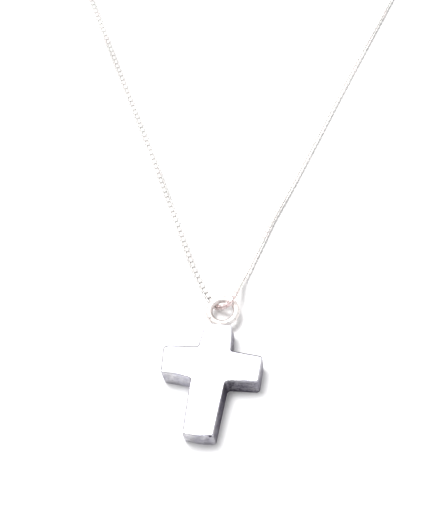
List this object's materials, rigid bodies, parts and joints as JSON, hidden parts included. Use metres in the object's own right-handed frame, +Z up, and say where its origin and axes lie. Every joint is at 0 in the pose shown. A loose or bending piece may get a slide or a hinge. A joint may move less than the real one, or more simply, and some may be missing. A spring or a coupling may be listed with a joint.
{
  "type": "cross urn pendant on a box chain necklace",
  "caption": "Hollow cross pendant that holds a keepsake, closed by a screw-in ring bail, on a closed fine box chain with a plain clasp, lying flat.",
  "frame": {"origin": "middle of the crossing of the arms on the cross's back face, which lies on the surface", "axes": "+X along the right side arm, +Y from the foot towards the bail and the chain, +Z up out of the front face"},
  "size_m": [0.1063, 0.2156, 0.0047],
  "materials": {
    "cross_silver": "hand-polished sterling silver, bright, with faint polishing waves",
    "bail_silver": "polished sterling silver wire, slightly warm",
    "chain_silver": "polished sterling silver links, dark in the gaps",
    "clasp_silver": "polished sterling silver wire"
  },
  "bodies": {
    "necklace": {"bail": "bail_silver", "chain": "chain_silver", "clasp": "clasp_silver"},
    "cross": {"cross_body": "cross_silver"}
  },
  "joints": [
    {"name": "bail_unscrew", "type": "slide", "parent": "necklace", "child": "cross", "axis": [0, -1, 0], "range_m": [0, 0.006]}
  ]
}
